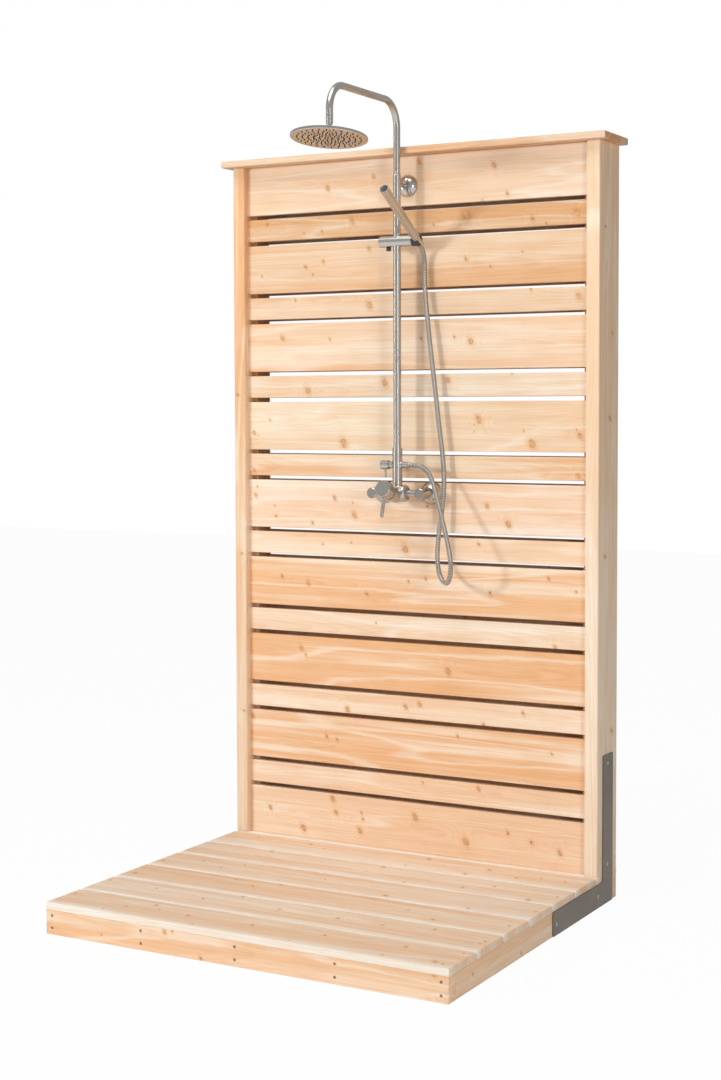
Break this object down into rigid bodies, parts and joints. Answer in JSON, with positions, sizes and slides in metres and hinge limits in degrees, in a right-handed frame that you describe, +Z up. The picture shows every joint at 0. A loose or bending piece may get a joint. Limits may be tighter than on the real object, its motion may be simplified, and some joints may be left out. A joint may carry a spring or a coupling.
{
  "type": "outdoor shower post",
  "caption": "Freestanding outdoor shower: slatted wooden privacy wall on a slatted deck, with mixer, diverter, riser, rain head and hand shower.",
  "frame": {"origin": "middle of the deck's plan, on the ground", "axes": "+X along the wall, -Y the bather's side, +Z up"},
  "size_m": [1.201, 1.0348, 2.1985],
  "materials": {
    "wall_cedar": "satin",
    "deck_cedar": "satin",
    "frame_cedar": "satin",
    "stainless": "satin",
    "plate_steel": "matte",
    "screw_steel": "satin",
    "hose_steel": "satin",
    "black_plastic": "satin",
    "nozzle_rubber": "matte"
  },
  "bodies": {
    "root": {"front_slat_01": "wall_cedar", "front_slat_02": "wall_cedar", "front_slat_03": "wall_cedar", "front_slat_04": "wall_cedar", "front_slat_05": "wall_cedar", "front_slat_06": "wall_cedar", "front_slat_07": "wall_cedar", "front_slat_08": "wall_cedar", "front_slat_09": "wall_cedar", "front_slat_10": "wall_cedar", "front_slat_11": "wall_cedar", "front_slat_12": "wall_cedar", "front_slat_13": "wall_cedar", "front_slat_14": "wall_cedar", "front_slat_15": "wall_cedar", "front_slat_16": "wall_cedar", "front_slat_17": "wall_cedar", "back_slats": "wall_cedar", "deck_board_1": "deck_cedar", "deck_board_2": "deck_cedar", "deck_board_3": "deck_cedar", "deck_board_4": "deck_cedar", "deck_board_5": "deck_cedar", "deck_board_6": "deck_cedar", "deck_board_7": "deck_cedar", "front_rim": "deck_cedar", "rear_rim": "deck_cedar", "deck_joists": "deck_cedar", "left_post": "frame_cedar", "right_post": "frame_cedar", "left_batten": "frame_cedar", "right_batten": "frame_cedar", "top_cap": "frame_cedar", "left_bracket": "plate_steel", "right_bracket": "plate_steel", "rim_screws": "screw_steel", "bracket_screws": "screw_steel", "riser_tube": "stainless", "top_rosette": "stainless", "top_post": "stainless", "diverter_body": "stainless", "mixer_body": "stainless", "inlet_unions": "stainless", "inlet_rosettes": "stainless", "hose_nut": "stainless", "hose_fall": "hose_steel"},
    "shower_arm": {"shower_arm": "stainless", "rain_head_ball": "stainless"},
    "rain_head": {"rain_head": "stainless", "rain_head_nozzles": "nozzle_rubber"},
    "slider": {"slider": "stainless", "slider_liner": "black_plastic", "hose_rise": "hose_steel"},
    "slider_screw": {"slider_screw": "black_plastic"},
    "hand_shower": {"hand_shower": "stainless", "hose_cone_nut": "stainless"},
    "diverter_knob": {"diverter_knob": "stainless"},
    "mixer_stem": {"mixer_stem": "stainless"},
    "mixer_handle": {"mixer_handle": "stainless", "handle_lever": "stainless"}
  },
  "joints": [
    {"name": "arm_swivel", "type": "hinge", "parent": "root", "child": "shower_arm", "pos_m": [-0.006, 0.333, 1.96], "axis": [0, 0, 1], "range_deg": [-60, 60]},
    {"name": "head_tilt", "type": "hinge", "parent": "shower_arm", "child": "rain_head", "pos_m": [-0.006, -0.037, 2.068], "axis": [1, 0, 0], "range_deg": [-7.5, 22.5]},
    {"name": "slider_height", "type": "slide", "parent": "root", "child": "slider", "axis": [0, 0, 1], "range_m": [-0.5, 0.1], "deforming": ["hose_rise"]},
    {"name": "slider_clamp", "type": "hinge", "parent": "slider", "child": "slider_screw", "pos_m": [-0.032, 0.333, 1.79], "axis": [0, 0, 1], "range_deg": [0, 180]},
    {"name": "hand_lift", "type": "slide", "parent": "slider", "child": "hand_shower", "axis": [0, -0.8471, 0.5314], "range_m": [0, 0.025]},
    {"name": "diverter_turn", "type": "hinge", "parent": "root", "child": "diverter_knob", "pos_m": [-0.036, 0.333, 1.188], "axis": [1, 0, 0], "range_deg": [-90, 0]},
    {"name": "mixer_temperature", "type": "hinge", "parent": "root", "child": "mixer_stem", "pos_m": [-0.006, 0.2747, 1.117], "axis": [0, -0.9659, 0.2588], "range_deg": [-45, 45]},
    {"name": "mixer_flow", "type": "hinge", "parent": "mixer_stem", "child": "mixer_handle", "pos_m": [-0.006, 0.2747, 1.117], "axis": [1, 0, 0], "range_deg": [-15, 0]}
  ]
}
